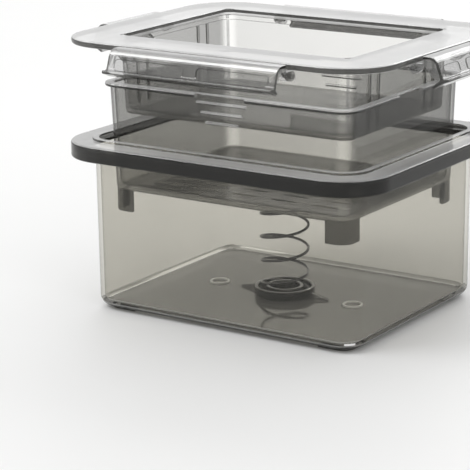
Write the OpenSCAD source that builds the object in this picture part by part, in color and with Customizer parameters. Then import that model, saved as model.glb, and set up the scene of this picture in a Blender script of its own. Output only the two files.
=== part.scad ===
// Tofu press: a spring under the basket pushes the tofu up against a sunken
// tray in the lid, and four latches hook the lid under the container's flange.
// Millimetres, +Z up, origin at the centre of the footprint on the ground.
// Shown as it stands before it is closed: basket up on its spring, latches open.

/* [Basket size] */
// Outer width of the basket at its rim
basket_w = 133; // [110:1:160]
// Outer depth of the basket at its rim
basket_d = 105; // [95:1:130]
// Height of the basket without its legs
basket_h = 52; // [44:0.5:60]

/* [Container] */
// How far the foot of the container's walls stands out past the basket, on each side
container_room = 6.5; // [4.5:0.25:9]
// Height of the container, ground to the top of its flange
container_h = 82.5; // [70:0.5:100]
// Wall thickness of the container
container_wall = 2; // [1.5:0.1:3]
// Floor thickness of the container
container_floor = 2.4; // [1.5:0.1:4]
// How far each wall leans out between the base and the flange
container_lean = 0.5; // [0:0.25:3]
// Outer radius of the container's upright corners
container_r = 12; // [9:0.5:18]
// Radius of the rounded edge round the container's bottom
bottom_r = 5; // [3:0.5:6]
// Height of the moulded corner feet
foot_h = 1.2; // [0.6:0.1:3]
// Length of each foot along the base
foot_l = 16; // [12:1:24]
// Thickness of the feet
foot_t = 4; // [2:0.5:6]
// How far the feet stand in from the edge of the flat bottom
foot_in = 0.5; // [0.25:0.25:2]
// Diameter of the two round rings on the floor
floor_ring_d = 10; // [6:0.5:14]
// Distance of each floor ring from the centre
floor_ring_x = 38; // [34:1:46]
// Height of the floor rings
floor_ring_h = 0.8; // [0.4:0.1:1.5]
// Wall thickness of the floor rings
floor_ring_wall = 1; // [0.6:0.1:2]

/* [Container flange] */
// How far the flange stands out past the wall
flange_out = 11.5; // [9:0.5:16]
// Thickness of the flange
flange_t = 2.4; // [1.6:0.1:3.5]
// Height of the flange's outer lip, flange included
lip_h = 7.5; // [5:0.25:9]
// Thickness of the outer lip
lip_t = 2; // [1.2:0.1:3]
// Height of the bead round the mouth
bead_h = 1.2; // [0.5:0.1:2]
// Width of the bead round the mouth
bead_w = 2.4; // [1.5:0.1:3.5]

/* [Spring seat] */
// Gap between the spring and the collars round it, on each side
spring_play = 0.8; // [0.6:0.05:2]
// Gap between the spring and the ring inside it, on each side
core_play = 1.65; // [1:0.05:3]
// Height of the collar
seat_h = 4.5; // [4:0.5:9]
// Thickness of the collar's wall
seat_wall = 1.6; // [1:0.1:2]
// Thickness of the seat's base
seat_base = 1.6; // [1:0.1:3]
// Length of each fin, out from the collar
fin_l = 10; // [6:0.5:14]
// Thickness of the fins
fin_t = 2.4; // [1.5:0.1:4]
// How far below the collar's rim the fins end
fin_drop = 1.5; // [0.5:0.25:3]

/* [Spring] */
// Mean diameter of the spring's coils
spring_d = 22.8; // [18:0.1:28]
// Thickness of the spring's wire
wire_d = 1.5; // [1.2:0.1:1.8]
// Number of coils, the two flat half coils included
spring_turns = 5.5; // [4.5:0.5:8]
// Direction in which the spring's wire starts, counter-clockwise from +X, in degrees
spring_start = 280; // [0:10:350]
// Height of the spring as it stands, basket and lid on it
spring_h = 52.8; // [45:0.2:62]

/* [Basket] */
// Wall thickness of the basket
basket_wall = 1.8; // [1.2:0.1:2.2]
// Floor thickness of the basket
basket_floor = 2.2; // [1.5:0.1:3.5]
// How far each wall leans out between the floor and the rim
basket_lean = 1.5; // [0.5:0.25:2]
// Outer radius of the basket's upright corners
basket_r = 7; // [6:0.5:12]
// How far the rim stands out past the wall
rim_out = 2.4; // [1.5:0.1:2.8]
// Thickness of the rim
rim_t = 1.8; // [1:0.1:3]
// Length of the break in the rim, left and right
rim_break = 22; // [14:1:40]
// Height of the legs
leg_h = 10; // [6:0.5:14]
// Length of each leg along the basket's edge
leg_l = 11.5; // [9:0.5:18]
// Thickness of the legs
leg_t = 2.4; // [1.5:0.1:4]
// Depth of the socket under the floor that holds the spring
socket_h = 5; // [3:0.5:8]
// Wall thickness of that socket
socket_wall = 1.6; // [1:0.1:2]

/* [Basket grips and drain] */
// Width of the top grip bar
grip_w = 27; // [20:1:36]
// Number of grip bars, each shorter than the one above
grip_bars = 3; // [2:1:4]
// Distance from one grip bar to the next
grip_pitch = 4.6; // [3.5:0.1:6]
// Height of a grip bar
grip_bar_h = 1.4; // [0.8:0.1:2.4]
// How far the grip bars stand out
grip_out = 1.2; // [0.6:0.1:1.6]
// Length of a drain slot
slot_l = 14; // [8:0.5:18]
// Width of a drain slot
slot_w = 2.4; // [1.5:0.1:3.5]
// Distance between drain slots, along the width
slot_pitch_x = 22; // [20:0.5:26]
// Distance between rows of drain slots, along the depth
slot_pitch_y = 10; // [7:0.5:12]
// Number of drain slots in a row
slots_x = 5; // [3:2:5]
// Number of rows of drain slots
slots_y = 8; // [4:2:8]

/* [Lid frame] */
// How far the lid frame stands out past the flange, left and right
lid_over = 0.5; // [0:0.1:1.2]
// How far the lid frame stands in from the flange's edge, front and back
lid_under = 2.5; // [1.5:0.1:3.5]
// Thickness of the lid frame
lid_t = 3; // [2:0.1:4]
// Radius of the lid frame's corners
lid_r = 25; // [18:1:32]
// Gap between the basket's rim and the lid frame, as it stands
lid_gap = 18.5; // [14:0.5:24]

/* [Press tray] */
// Gap between the tray and the basket's side walls, at the top of both
tray_gap_x = 1.1; // [1:0.1:2.5]
// Gap between the tray and the basket's front and back walls, at the top of both
tray_gap_y = 4.1; // [3:0.1:5]
// Depth of the tray below the lid frame
tray_h = 34.5; // [28:0.5:44]
// Wall thickness of the tray
tray_wall = 1.6; // [1:0.1:2]
// Floor thickness of the tray
tray_floor = 2; // [1.4:0.1:3]
// How far each wall leans in between the top and the floor
tray_lean = 1; // [0.5:0.1:2]
// Inner radius of the tray's upright corners
tray_r = 5; // [3:0.5:8]
// Height of the thicker band round the tray's top
band_h = 2.5; // [1.5:0.1:5]
// How far that band stands out
band_out = 1; // [0.5:0.1:1.5]
// How far the guide ribs stand out
rib_out = 0.9; // [0.4:0.1:1.1]
// Width of a guide rib
rib_w = 1.6; // [1:0.1:2.5]
// Distance from the centre to each pair of guide ribs
rib_y = 25.5; // [20:0.5:30]
// Distance between the two guide ribs of a pair
rib_gap = 8; // [5:0.5:12]

/* [Latches] */
// Length of the front and back latches
latch_long = 90; // [70:1:96]
// Length of the side latches
latch_short = 43; // [34:1:60]
// Thickness of a latch's shell
latch_t = 1.6; // [1.2:0.1:2]
// Outer radius between a latch's top and its face
latch_r = 5; // [4:0.25:6]
// Gap between a latch and the lid frame's edge, open
edge_gap = 0.3; // [0.2:0.1:0.8]
// How far an open latch's top lies below the lid frame's top
top_sink = 0.5; // [0:0.1:1.2]
// How far an open latch's face leans out
face_lean = 20; // [14:1:24]
// Angle between a latch's open and closed places
latch_swing = 40; // [36:1:44]
// How far the hook reaches in under the lip, closed
hook_in = 1.7; // [1:0.1:2]
// How far the face reaches below the hook, closed
face_below = 0.9; // [0.3:0.1:2]
// Gap between the front and back lips and a latch's shell, closed
shell_gap = 0.8; // [0.5:0.1:1.5]
// Gap between the container's lip and a latch's cheeks, closed
cheek_gap = 1.3; // [0.8:0.1:2]
// Thickness of the hook at its tip
hook_t = 1.6; // [1:0.1:2]
// How far the finger lip stands out
finger_out = 3; // [1.5:0.25:4]
// Thickness of a latch's end cheeks
cheek_t = 2; // [1.5:0.1:3]
// Height of the two panels sunk into a latch's face
panel_h = 5; // [3:0.25:6]
// Depth of those panels
panel_sink = 0.6; // [0.3:0.1:0.8]
// Width of the bar between the two panels
panel_bar = 7; // [4:0.5:10]

/* [Hinges] */
// Distance of the pivots in from the lid frame's edge
pivot_in = 4.5; // [4:0.1:5.5]
// Distance of the pivots below the lid frame
pivot_drop = 3.4; // [3.2:0.1:4.5]
// Gap between a hinge boss and the bead round the container's mouth, closed
bead_gap = 0.3; // [0.2:0.1:0.8]
// Diameter of the hinge pins
pin_d = 2.4; // [1.8:0.1:3]
// Diameter of a hinge pin's head
pin_head_d = 3.6; // [3.2:0.1:4.4]
// Thickness of a hinge pin's head
pin_head_t = 0.6; // [0.4:0.1:1.2]
// Gap round a pin in the latch that turns on it
pin_gap = 0.05; // [0.03:0.01:0.1]
// Thickness of a hinge lug
lug_t = 3; // [2:0.1:5]
// Wall round a pin in its lug and in its cheek
boss_wall = 1.4; // [1:0.1:1.8]
// Sideways gap between moving faces
side_gap = 0.3; // [0.2:0.05:0.6]

/* [Hidden] */
SIDES = ["front", "back", "left", "right"];

$fn = 48;
overlap = 0.01;                 // how far joined shapes run into each other
past = 1;                       // how far a cut runs past the face it opens
root = 0.5;                     // how deep a bar or rib runs into its wall
corner_steps = 8;               // facets in each upright corner of a leaning box
round_steps = 3;                // facets in the rounded edge round the bottom
least_r = 0.5;                  // smallest radius of an outline drawn inwards

smoke = [0.42, 0.42, 0.41, 0.55];
dark_smoke = [0.2, 0.2, 0.2, 0.8];
steel = [0.75, 0.76, 0.78];

// Heights, from the ground up
floor_top = foot_h + container_floor;
flange_z = container_h - flange_t;
seat_top = floor_top + seat_base;
basket_z = seat_top + spring_h;
rim_z = basket_z + basket_h;
lid_z = rim_z + lid_gap;
pivot_z = lid_z - pivot_drop;
tray_z = lid_z - tray_h;

// Container at the foot of its walls, and at their top
container_w = basket_w + 2 * container_room;
container_d = basket_d + 2 * container_room;
mouth_w = container_w + 2 * container_lean;
mouth_d = container_d + 2 * container_lean;
mouth_r = container_r + container_lean / 2;
flange_w = mouth_w + 2 * flange_out;
flange_d = mouth_d + 2 * flange_out;
flange_r = mouth_r + flange_out;
inner_bottom_r = bottom_r - container_wall;

// Spring seat, and the socket that holds the spring's upper end
seat_d = spring_d + wire_d + 2 * (spring_play + seat_wall);
seat_core_d = spring_d - wire_d - 2 * core_play;
fin_reach = seat_d / 2 + fin_l;
socket_d = spring_d + wire_d + 2 * (spring_play + socket_wall);

// Basket, at its floor
basket_base_w = basket_w - 2 * basket_lean;
basket_base_d = basket_d - 2 * basket_lean;

// Lid frame, and the tray inside and outside
lid_w = flange_w + 2 * lid_over;
lid_d = flange_d - 2 * lid_under;
tray_w = basket_w - 2 * (basket_wall + tray_gap_x + tray_wall);
tray_d = basket_d - 2 * (basket_wall + tray_gap_y + tray_wall);
tray_top_w = tray_w + 2 * tray_wall;
tray_top_d = tray_d + 2 * tray_wall;
tray_outer_r = tray_r + tray_wall;

// Hinges: the bosses, and how far below the pivots the lip's lower edge is, closed
boss_r = pin_d / 2 + boss_wall;
hook_drop = lip_h + bead_h + bead_gap + boss_r;

// Length of a side's latch, and how far out from its pivot the flange's edge is
function is_long(side) = side == "front" || side == "back";
function latch_length(side) = is_long(side) ? latch_long : latch_short;
function flange_edge(side) = pivot_in + (is_long(side) ? lid_under : -lid_over);

// ---------------------------------------------------------------- outlines

// Rectangle with round corners, centred
module round_rect(w, d, r) {
    square([w - 2 * r, d], center = true);
    square([w, d - 2 * r], center = true);
    for (x = [-1, 1], y = [-1, 1])
        translate([x * (w / 2 - r), y * (d / 2 - r)]) circle(r);
}

// Points of that rectangle at height z, counter-clockwise
function ring(w, d, r, z) = [
    for (quarter = [0:3], step = [0:corner_steps])
        let (a = 90 * (quarter + step / corner_steps),
             sx = (quarter == 0 || quarter == 3) ? 1 : -1,
             sy = quarter < 2 ? 1 : -1)
        [sx * (w / 2 - r) + r * cos(a), sy * (d / 2 - r) + r * sin(a), z]
];

// The same rectangle as a flat outline with those points
module stepped_rect(w, d, r) {
    polygon([for (p = ring(w, d, r, 0)) [p[0], p[1]]]);
}

// Upright solid with round corners, through sizes that follow each other upwards.
// Each size is [width, depth, corner radius, height].
module leaning_box(sizes) {
    count = 4 * (corner_steps + 1);
    last = count * (len(sizes) - 1);
    points = [for (size = sizes) each ring(size[0], size[1], size[2], size[3])];
    sides = [
        for (start = [0:count:last - count], i = [0:count - 1])
            let (low = start + i, next = start + (i + 1) % count)
            [low, low + count, next + count, next]
    ];
    bottom = [[for (i = [0:count - 1]) i]];
    top = [[for (i = [count - 1:-1:0]) i + last]];
    polyhedron(points, concat(bottom, sides, top));
}

// The four corners of a footprint, each taken along its edges for a length
module corner_blocks(w, d, length, h) {
    for (x = [-1, 1], y = [-1, 1])
        translate([x * (w / 2 - length / 2), y * (d / 2 - length / 2), h / 2])
            cube([length, length, h], center = true);
}

// ---------------------------------------------------------------- container

module outer_container() {
    color(smoke) {
        difference() {
            union() {
                leaning_box(container_sizes(foot_h, container_h, 0, bottom_r));
                flange();
            }
            leaning_box(container_sizes(floor_top, container_h + bead_h + past,
                                        container_wall, inner_bottom_r));
        }
        feet();
        for (x = [-1, 1]) translate([x * floor_ring_x, 0, floor_top - overlap]) floor_ring();
    }
}

// Size of the container's walls at height z, drawn in by some distance
function container_size(z, inset) =
    let (lean = container_lean * (z - foot_h) / (container_h - foot_h))
    [container_w + 2 * (lean - inset), container_d + 2 * (lean - inset),
     container_r + lean / 2 - inset, z];

// Sizes from low up to high, drawn in by some distance, with the bottom edge rounded
function container_sizes(low, high, inset, r) = concat(
    [for (step = [0:round_steps])
        let (a = 90 * step / round_steps)
        container_size(low + r * (1 - cos(a)), inset + r * (1 - sin(a)))],
    [container_size(high, inset)]
);

module flange() {
    translate([0, 0, flange_z]) linear_extrude(flange_t) round_rect(flange_w, flange_d, flange_r);
    translate([0, 0, container_h - lip_h]) linear_extrude(lip_h - flange_t + overlap) difference() {
        round_rect(flange_w, flange_d, flange_r);
        round_rect(flange_w - 2 * lip_t, flange_d - 2 * lip_t, flange_r - lip_t);
    }
    translate([0, 0, container_h - overlap]) linear_extrude(bead_h + overlap)
        round_rect(mouth_w + bead_w, mouth_d + bead_w, mouth_r + bead_w / 2);
}

// A foot under each corner, following the outline of the flat bottom
module feet() {
    edge = bottom_r + foot_in;
    intersection() {
        linear_extrude(foot_h + overlap) difference() {
            feet_outline(edge);
            feet_outline(edge + foot_t);
        }
        corner_blocks(container_w - 2 * edge, container_d - 2 * edge, foot_l, foot_h + overlap);
    }
}

// The outline at the foot of the walls, drawn in by some distance
module feet_outline(inset) {
    r = max(container_r - inset, least_r);
    stepped_rect(container_w - 2 * inset, container_d - 2 * inset, r);
}

module floor_ring() {
    rotate_extrude() translate([floor_ring_d / 2 - floor_ring_wall, 0])
        square([floor_ring_wall, floor_ring_h + overlap]);
}

// ---------------------------------------------------------------- spring and its seat

module spring_seat() {
    color(dark_smoke) translate([0, 0, floor_top]) {
        rotate_extrude() seat_section();
        for (side = [0, 180]) rotate(side) fin();
    }
}

// Half section of the seat: base, outer collar and the ring inside the spring
module seat_section() {
    square([seat_d / 2, seat_base]);
    translate([seat_d / 2 - seat_wall, 0]) square([seat_wall, seat_h]);
    translate([seat_core_d / 2 - seat_wall, 0]) square([seat_wall, seat_h]);
}

// Gusset that braces the collar, along +X
module fin() {
    start = seat_d / 2 - root;
    translate([0, fin_t / 2, 0]) rotate([90, 0, 0]) linear_extrude(fin_t)
        polygon([[start, 0], [fin_reach, 0], [fin_reach, seat_base / 2], [start, seat_h - fin_drop]]);
}

// The wire's centre line: a flat half coil, the climb, and a flat half coil
ring_steps = 8;
wire_sides = 6;
spring_rings = ring_steps * spring_turns;
climb = spring_h - wire_d;
function coil_height(t) = climb * min(1, max(0, (t - 0.5) / (spring_turns - 1)));
function coil_point(t) = [
    spring_d / 2 * cos(360 * t), spring_d / 2 * sin(360 * t), wire_d / 2 + coil_height(t)
];

// Ring of the wire's skin round the centre line, after t coils
function wire_ring(t) =
    let (out = [cos(360 * t), sin(360 * t), 0], c = coil_point(t))
    [for (k = [0:wire_sides - 1])
        let (a = 360 * k / wire_sides)
        c + wire_d / 2 * (cos(a) * out + sin(a) * [0, 0, 1])];

module spring() {
    points = [for (i = [0:spring_rings]) each wire_ring(i / ring_steps)];
    skin = [for (i = [0:spring_rings - 1], k = [0:wire_sides - 1])
        let (a = i * wire_sides + k, b = i * wire_sides + (k + 1) % wire_sides)
        each [[a, b, b + wire_sides], [a, b + wire_sides, a + wire_sides]]];
    last = spring_rings * wire_sides;
    start_cap = [for (k = [1:wire_sides - 2]) [0, k + 1, k]];
    end_cap = [for (k = [1:wire_sides - 2]) [last, last + k, last + k + 1]];
    color(steel) translate([0, 0, seat_top]) rotate(spring_start)
        polyhedron(points, concat(start_cap, skin, end_cap));
}

// Least gap between coils, on rings at least half a coil apart
centres = [for (i = [0:spring_rings]) coil_point(i / ring_steps)];
spring_gap = min([for (i = [0:spring_rings - 5], j = [i + 5:spring_rings])
    norm(centres[i] - centres[j])]) - wire_d;
echo(least_gap_between_coils = spring_gap);

// ---------------------------------------------------------------- basket

module basket() {
    color(smoke) difference() {
        union() {
            leaning_box([[basket_base_w, basket_base_d, basket_r, basket_z],
                         [basket_w, basket_d, basket_r, rim_z]]);
            translate([0, 0, rim_z - rim_t]) linear_extrude(rim_t) basket_rim();
            legs();
            for (side = [0, 180]) rotate(side) grip();
            translate([0, 0, basket_z - socket_h]) cylinder(h = socket_h + overlap, d = socket_d);
        }
        leaning_box([basket_hollow(basket_z + basket_floor), basket_hollow(rim_z + past)]);
        translate([0, 0, basket_z - socket_h - past])
            cylinder(h = socket_h + past, d = socket_d - 2 * socket_wall);
        drain_slots();
    }
}

// Inner width, depth, corner radius and height of the basket, at height z
function basket_hollow(z) =
    let (lean = basket_lean * (z - basket_z) / basket_h)
    [basket_base_w + 2 * (lean - basket_wall), basket_base_d + 2 * (lean - basket_wall),
     basket_r - basket_wall, z];

// The rim stops short at the finger grips, front and back, and in the middle of each side
module basket_rim() {
    difference() {
        stepped_rect(basket_w + 2 * rim_out, basket_d + 2 * rim_out, basket_r + rim_out);
        for (y = [-1, 1]) translate([0, y * (basket_d / 2 + rim_out)])
            square([grip_w, 2 * rim_out], center = true);
        for (x = [-1, 1]) translate([x * (basket_w / 2 + rim_out), 0])
            square([2 * rim_out, rim_break], center = true);
    }
}

// Bars under the break in the rim, on the back wall
module grip() {
    for (i = [0:grip_bars - 1]) {
        z = rim_z - rim_t - grip_pitch * (i + 0.5);
        wall_y = basket_d / 2 - basket_lean * (rim_z - z) / basket_h;
        translate([0, wall_y + (grip_out - root) / 2, z])
            cube([grip_w - i * grip_pitch, grip_out + root, grip_bar_h], center = true);
    }
}

// A leg under each corner, following the basket's outline
module legs() {
    translate([0, 0, basket_z - leg_h]) intersection() {
        linear_extrude(leg_h + overlap) difference() {
            stepped_rect(basket_base_w, basket_base_d, basket_r);
            stepped_rect(basket_base_w - 2 * leg_t, basket_base_d - 2 * leg_t, basket_r - leg_t);
        }
        corner_blocks(basket_base_w, basket_base_d, leg_l, leg_h + overlap);
    }
}

module drain_slots() {
    for (i = [0:slots_x - 1], j = [0:slots_y - 1]) {
        x = (i - (slots_x - 1) / 2) * slot_pitch_x;
        y = (j - (slots_y - 1) / 2) * slot_pitch_y;
        if (norm([x, y]) > (socket_d + slot_l) / 2)
            translate([x, y, basket_z + basket_floor / 2])
                cube([slot_l, slot_w, 2 * basket_floor], center = true);
    }
}

// ---------------------------------------------------------------- lid

module lid_frame() {
    color(smoke) {
        translate([0, 0, lid_z]) linear_extrude(lid_t) difference() {
            round_rect(lid_w, lid_d, lid_r);
            round_rect(tray_w, tray_d, tray_r);
        }
        for (side = SIDES) lugs(side);
    }
}

// Puts a piece drawn round a pivot on one side of the lid.
// The pivot runs along X and +Y points outward.
module on_side(side) {
    turn = side == "back" ? 0 : side == "front" ? 180 : side == "left" ? 90 : -90;
    half = (is_long(side) ? lid_d : lid_w) / 2;
    rotate(turn) translate([0, half - pivot_in, pivot_z]) children();
}

// Extrudes an outline of outward and upward sizes along the pivot, from x
module along_pivot(x, length) {
    translate([x, 0, 0]) rotate([90, 0, 90]) linear_extrude(length) children();
}

// The two lugs that carry one side's latch
module lugs(side) {
    near = latch_length(side) / 2 - cheek_t - side_gap - lug_t;
    on_side(side) for (x = [near, -near - lug_t]) along_pivot(x, lug_t) difference() {
        union() {
            circle(boss_r);
            translate([-boss_r, 0]) square([2 * boss_r, pivot_drop + overlap]);
        }
        circle(d = pin_d);
    }
}

module press_tray() {
    low = [tray_top_w - 2 * tray_lean, tray_top_d - 2 * tray_lean, tray_outer_r, tray_z];
    high = [tray_top_w, tray_top_d, tray_outer_r, lid_z];
    color(smoke) difference() {
        union() {
            leaning_box([low, high]);
            translate([0, 0, lid_z - band_h]) linear_extrude(band_h)
                round_rect(tray_top_w + 2 * band_out, tray_top_d + 2 * band_out, tray_outer_r + band_out);
            for (x = [-1, 1], y = [-1, 1], pair = [-1, 1])
                translate([0, y * rib_y + pair * rib_gap / 2, 0]) guide_rib(x);
        }
        leaning_box([tray_hollow(tray_z + tray_floor), tray_hollow(lid_z + past)]);
    }
}

// Inner width, depth, corner radius and height of the tray, at height z
function tray_hollow(z) =
    let (lean = tray_lean * (lid_z - z) / tray_h)
    [tray_w - 2 * lean, tray_d - 2 * lean, tray_r, z];

// Upright rib on the outside of the tray's side wall, parallel to it
module guide_rib(side) {
    top = tray_top_w / 2;
    foot = top - tray_lean;
    translate([0, rib_w / 2, tray_z]) rotate([90, 0, 0]) linear_extrude(rib_w)
        polygon([[side * (foot - root), 0], [side * (foot + rib_out), 0],
                 [side * (top + rib_out), tray_h], [side * (top - root), tray_h]]);
}

// ---------------------------------------------------------------- latches

// Outlines below are drawn in outward and upward sizes from the pivot, with the
// latch open. A point of the closed latch is turned back by the swing.
function opened(p) = [
    p[0] * cos(latch_swing) - p[1] * sin(latch_swing),
    p[0] * sin(latch_swing) + p[1] * cos(latch_swing)
];

// Height above the pivot that a point of the open latch has once it is closed
function closed_height(p) = p[1] * cos(latch_swing) - p[0] * sin(latch_swing);

// The shell starts beside the lid frame's edge. Its flat top is as wide, and its face
// as long, as it takes for the closed latch to pass round the container's lip.
face_dir = [sin(face_lean), -cos(face_lean)];
face_out = [cos(face_lean), sin(face_lean)];
top_start = [pivot_in + edge_gap, pivot_drop + lid_t - top_sink];
bend_z = top_start[1] - latch_r;
face_inside = face_out * opened([flange_edge("front") + shell_gap, -hook_drop]);
bend_x = (face_inside - latch_r + latch_t - bend_z * sin(face_lean)) / cos(face_lean);
bend_centre = [bend_x, bend_z];
face_start = bend_centre + latch_r * face_out;
closed_lean = latch_swing - face_lean;
latch_face = (closed_height(face_start) + hook_drop + hook_t + face_below) / cos(closed_lean);
face_end = face_start + latch_face * face_dir;
bend_steps = 8;
function bend(r) = [for (i = [0:bend_steps])
    let (a = 90 - i * (90 - face_lean) / bend_steps) bend_centre + r * [cos(a), sin(a)]];

// Outer line of the shell, from the lid frame's edge to the foot of the face
outer_line = concat([top_start], bend(latch_r), [face_end]);
inner_line = concat([top_start - [0, latch_t]], bend(latch_r - latch_t), [face_end - latch_t * face_out]);
function reversed(list) = [for (i = [len(list) - 1:-1:0]) list[i]];

module shell_outline(side) {
    polygon(concat(outer_line, reversed(inner_line)));
    hook_outline(flange_edge(side) - hook_in);
    finger_outline();
}

// Nose that reaches in under the container's lip, as far as tip, when the latch is closed
module hook_outline(tip) {
    low = face_end - 0.5 * latch_t * face_out;
    high = low + (hook_drop + closed_height(low)) / cos(closed_lean) * face_dir;
    polygon([opened([tip, -hook_drop]), high, low, opened([tip + hook_t / 4, -hook_drop - hook_t])]);
}

module finger_outline() {
    inner = face_end - latch_t * face_out;
    polygon([inner, inner - latch_t * face_dir, face_end - latch_t * face_dir + finger_out * face_out,
             face_end + finger_out * face_out]);
}

// End cheek: a boss round the pin, and an arm that passes below the lid frame and
// keeps clear of the flange
module cheek_outline(side) {
    arm = flange_edge(side) + cheek_gap;
    difference() {
        union() {
            circle(boss_r);
            polygon(concat([[0, boss_r], [top_start[0], boss_r]], outer_line, [
                opened([arm, -hook_drop]), opened([arm, -boss_r - side_gap]), opened([0, -boss_r])
            ]));
        }
        circle(d = pin_d + 2 * pin_gap);
    }
}

module latch(side) {
    length = latch_length(side);
    color(smoke) on_side(side) difference() {
        union() {
            along_pivot(-length / 2, length) shell_outline(side);
            for (x = [-length / 2, length / 2 - cheek_t]) along_pivot(x, cheek_t) cheek_outline(side);
        }
        for (half = [-1, 1]) sunk_panel(length, half);
    }
}

// Long shallow panel in one half of the face
module sunk_panel(length, half) {
    panel_l = length / 2 - panel_bar / 2 - 2 * cheek_t;
    middle = face_start + (latch_face - latch_t) / 2 * face_dir;
    translate([half * (panel_bar + panel_l) / 2, middle[0], middle[1]]) rotate([face_lean, 0, 0])
        cube([panel_l, 2 * panel_sink, panel_h], center = true);
}

// Pin with a flat head, from outside the cheek through the lug
module pin(side, end) {
    start = end * (latch_length(side) / 2 + side_gap);
    color(dark_smoke) on_side(side) translate([start, 0, 0]) rotate([0, -90 * end, 0]) {
        cylinder(h = cheek_t + side_gap + lug_t, d = pin_d);
        translate([0, 0, -pin_head_t]) cylinder(h = pin_head_t + overlap, d = pin_head_d);
    }
}

outer_container();
spring_seat();
spring();
basket();
press_tray();
lid_frame();
latch("front");  // latch_front
latch("back");  // latch_back
latch("left");  // latch_left
latch("right");  // latch_right
pin("front", 1);  // pin_front_left
pin("front", -1);  // pin_front_right
pin("back", -1);  // pin_back_left
pin("back", 1);  // pin_back_right
pin("left", -1);  // pin_left_front
pin("left", 1);  // pin_left_back
pin("right", 1);  // pin_right_front
pin("right", -1);  // pin_right_back
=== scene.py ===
"""Looks of the tofu press: clear smoke plastic, a steel spring and a plain pale studio.

Sizes are in millimetres and become metres when a mesh is made. The pieces stand
where the CAD nodes stand, and take their outer sizes from them.
"""
import math
from collections import namedtuple

import bmesh
import bpy
from mathutils import Matrix, Vector


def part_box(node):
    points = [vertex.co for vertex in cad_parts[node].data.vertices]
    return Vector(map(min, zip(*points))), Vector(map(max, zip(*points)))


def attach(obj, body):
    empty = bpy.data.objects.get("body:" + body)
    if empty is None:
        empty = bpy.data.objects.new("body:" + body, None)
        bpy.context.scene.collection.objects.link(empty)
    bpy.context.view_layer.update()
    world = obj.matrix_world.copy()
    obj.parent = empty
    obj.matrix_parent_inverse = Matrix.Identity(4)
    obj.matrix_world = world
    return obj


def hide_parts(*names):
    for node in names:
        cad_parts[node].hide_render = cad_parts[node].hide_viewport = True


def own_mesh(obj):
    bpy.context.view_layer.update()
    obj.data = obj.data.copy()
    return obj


MM = 0.001

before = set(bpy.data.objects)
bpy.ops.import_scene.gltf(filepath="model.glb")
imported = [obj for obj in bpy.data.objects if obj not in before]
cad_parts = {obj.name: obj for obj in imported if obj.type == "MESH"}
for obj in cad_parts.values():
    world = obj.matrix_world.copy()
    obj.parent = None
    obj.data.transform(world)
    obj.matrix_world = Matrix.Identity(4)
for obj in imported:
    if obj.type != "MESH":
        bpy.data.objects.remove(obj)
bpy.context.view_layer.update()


def box_mm(node):
    """Lowest and highest corner of a CAD node at rest, in millimetres."""
    low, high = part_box(node)
    return low / MM, high / MM


# ---------------------------------------------------------------- sizes

CONTAINER_LOW, CONTAINER_HIGH = box_mm("outer_container")
SEAT_LOW, SEAT_HIGH = box_mm("spring_seat")
SPRING_LOW, SPRING_HIGH = box_mm("spring")
BASKET_LOW, BASKET_HIGH = box_mm("basket")
TRAY_LOW, TRAY_HIGH = box_mm("press_tray")
LID_LOW, LID_HIGH = box_mm("lid_frame")

CORNER_STEPS = 14               # facets in an upright corner
ARC_STEP = math.radians(14)     # largest turn from one facet of a fillet to the next
SEAM = 0.05                     # gap between faces that would lie on each other
NEAR = 0.1                      # slack when faces are picked by their place
LEAST_R = 0.4                   # smallest radius of an upright corner
BEVEL = 0.3                     # round edge at the ends of a plate
BEVEL_STEPS = 3
WELD = 1e-7                     # points as close as this, in metres, become one
SHARP = math.radians(32)        # edges that turn by more are shaded as sharp
CUT = 1.0                       # how far a cutter reaches past what it cuts
ROOT = 0.5                      # how deep a small form starts inside its piece
AXIS = 0.01                     # as near to its axis as a turned section comes
TILT = 0.3                      # part of a normal from which a face is turned that way
FACING = 0.8                    # part of a normal from which a face looks that way
BOSS_ROUND = 0.98               # share of a boss's radius that its corners are rounded by

# Container
BEAD_H = 1.2
BEAD_OUT = 1.2
FLANGE_OUT = 11.5
FLANGE_T = 2.4
LIP_H = 7.5
LIP_T = 2.0
CONTAINER_LEAN = 0.5
CONTAINER_R = 12.0
CONTAINER_WALL = 2.0
CONTAINER_FLOOR = 2.4
BOTTOM_R = 5.0
FLOOR_EDGE = 11.5               # how far in the floor's one flat face begins
FOOT_H = 1.2
FOOT_T = 4.0
FOOT_TOP = 3.0                  # where the feet end, inside the floor
FOOT_IN = BOTTOM_R + 0.5        # from the foot of the walls
FOOT_L = 16.0 + FOOT_IN
FLOOR_RING_D = 10.0
FLOOR_RING_X = 38.0
FLOOR_RING_H = 0.8
FLOOR_RING_T = 1.2
RING_STEPS = 40
BRIGHT_FILLET_H = 1.5           # how far up the fillet round the floor the painted highlight reaches
DARK_EDGE_H = 2.0               # how far up the outer bottom edge is painted dark as shade

FLANGE_W = CONTAINER_HIGH.x - CONTAINER_LOW.x
FLANGE_D = CONTAINER_HIGH.y - CONTAINER_LOW.y
FLANGE_TOP = CONTAINER_HIGH.z - BEAD_H
BASE_W = FLANGE_W - 2 * (FLANGE_OUT + CONTAINER_LEAN)
BASE_D = FLANGE_D - 2 * (FLANGE_OUT + CONTAINER_LEAN)
FLOOR_TOP = FOOT_H + CONTAINER_FLOOR

# Spring seat
SEAT_D = 29.1
SEAT_WALL = 1.6
SEAT_BASE = 1.6
CORE_D = 18.0
SEAT_RIM_H = 0.45               # height of the rims' painted bright edges
SEAT_STEPS = 64
FIN_T = 2.4
FIN_REACH = SEAT_HIGH.x
FIN_TIP_H = 0.8
FIN_DROP = 1.5                  # from the seat's top to the fins' highest place

# Spring
WIRE_D = 1.35
SPRING_D = 22.95
SPRING_TURNS = 5.5
FLAT_TURNS = 0.5                # at each end
SPRING_START = math.radians(280)
EASE = 0.02                     # how much the climb eases in and out
RINGS_PER_TURN = 28
WIRE_SIDES = 14

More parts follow.
